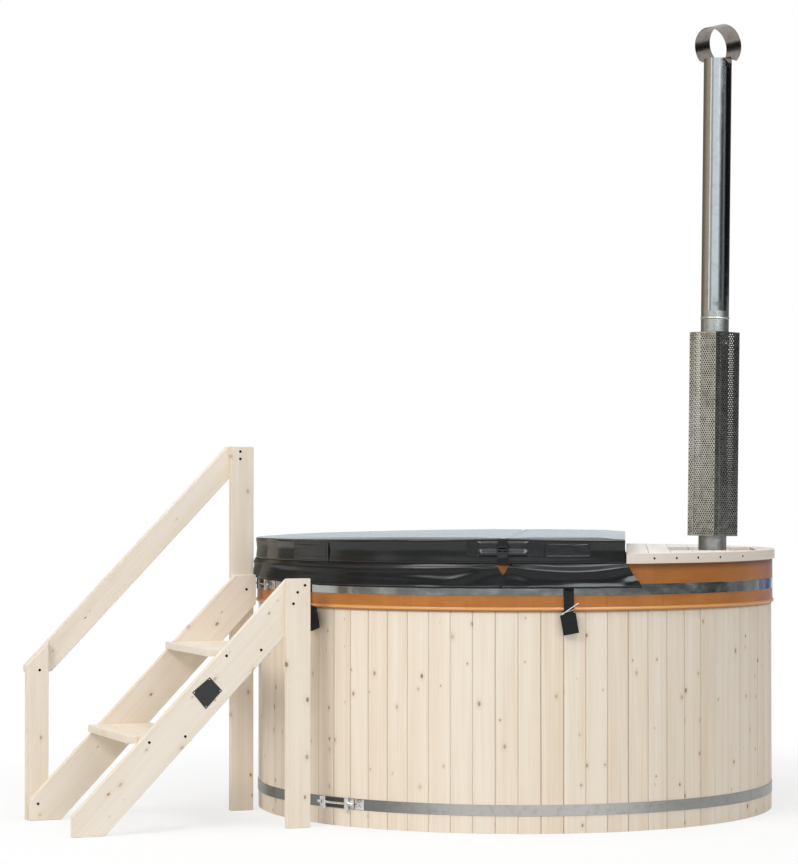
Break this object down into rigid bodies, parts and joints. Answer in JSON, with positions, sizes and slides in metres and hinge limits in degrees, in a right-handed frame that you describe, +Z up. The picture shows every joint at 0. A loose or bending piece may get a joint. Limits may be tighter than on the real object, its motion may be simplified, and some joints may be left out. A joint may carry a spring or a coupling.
{
  "type": "wooden hot tub",
  "caption": "Round timber-clad hot tub with moulded liner, submerged stove and chimney, folding padded cover and free-standing stairs.",
  "frame": {"origin": "on the floor, on the tub's axis", "axes": "+Z up; +X from the tub's axis towards the chimney; -Y towards the side from which the chimney stands on the right and the stairs on the left"},
  "size_m": [2.8095, 2.333, 3.0113],
  "materials": {
    "spruce": "planed, untreated pale spruce with knots",
    "bath_wood": "planed pale wood inside the bath",
    "liner_shell": "moulded caramel plastic, satin gloss",
    "hoop_steel": "bright stainless strip",
    "stove_metal": "welded sheet, dull",
    "cast_iron": "dark, fine sand-cast skin",
    "bright_steel": "turned stainless steel",
    "pipe_steel": "polished stainless pipe with a brushed seam side",
    "guard_sheet": "perforated sheet, dull grey",
    "cover_vinyl": "black grained marine vinyl",
    "webbing": "black ribbed webbing",
    "lever_grip": "dark dipped handle"
  },
  "bodies": {
    "root": {"base_bearers": "spruce", "base_deck": "spruce", "wall_rings": "spruce", "cladding_boards": "spruce", "liner": "liner_shell", "hoop_lower": "hoop_steel", "hoop_upper": "hoop_steel", "hoop_lugs": "hoop_steel", "hoop_bolts": "hoop_steel", "bench_slats": "bath_wood", "bench_bearers": "bath_wood", "bench_legs": "bath_wood", "fence_slats": "bath_wood", "fence_rails": "bath_wood", "firebox": "stove_metal", "stove_top": "stove_metal", "stove_feet": "stove_metal", "fire_grate": "cast_iron", "hatch_pin": "bright_steel", "chimney_lower": "pipe_steel", "chimney_upper": "pipe_steel", "rain_cap": "pipe_steel", "cap_lugs": "pipe_steel", "guard_panel_1": "guard_sheet", "guard_panel_2": "guard_sheet", "guard_panel_3": "guard_sheet", "guard_panel_4": "guard_sheet", "guard_brackets": "guard_sheet", "lid_boards": "spruce", "lid_edge": "spruce", "lid_battens": "spruce", "stair_stringer_near": "spruce", "stair_stringer_far": "spruce", "stair_tread_lower": "spruce", "stair_tread_upper": "spruce", "stair_post_near": "spruce", "stair_post_tall": "spruce", "stair_post_low": "spruce", "stair_handrail": "spruce", "drain_flange": "bright_steel", "drain_pipe": "bright_steel", "drain_valve": "bright_steel"},
    "cover_left": {"cover_panel_left": "cover_vinyl", "cover_flap_left": "cover_vinyl", "fold_gusset_left": "cover_vinyl", "fold_strap": "webbing", "handle_patch_left": "cover_vinyl", "tie_straps_left": "webbing"},
    "cover_right": {"cover_panel_right": "cover_vinyl", "cover_flap_right": "cover_vinyl", "fold_gusset_right": "cover_vinyl", "handle_patch_right": "cover_vinyl", "tie_straps_right": "webbing"},
    "feed_hatch": {"hatch_plate": "cast_iron", "hatch_handle": "cast_iron"},
    "air_slide": {"air_slider": "cast_iron"},
    "drain_handle": {"drain_lever": "lever_grip"}
  },
  "joints": [
    {"name": "cover_lift", "type": "slide", "parent": "root", "child": "cover_left", "axis": [0, 0, 1], "range_m": [0, 0.6]},
    {"name": "cover_fold", "type": "hinge", "parent": "cover_left", "child": "cover_right", "pos_m": [0, 0, 1.0503], "axis": [0, -1, 0], "range_deg": [0, 176]},
    {"name": "hatch_hinge", "type": "hinge", "parent": "root", "child": "feed_hatch", "pos_m": [0.714, 0.184, 0.9493], "axis": [-1, 0, 0], "range_deg": [0, 95]},
    {"name": "air_slide", "type": "slide", "parent": "feed_hatch", "child": "air_slide", "axis": [1, 0, 0], "range_m": [0, 0.013]},
    {"name": "drain_turn", "type": "hinge", "parent": "root", "child": "drain_handle", "pos_m": [0.02901, 1.03859, 0.15], "axis": [0, 0, -1], "range_deg": [0, 90]}
  ]
}
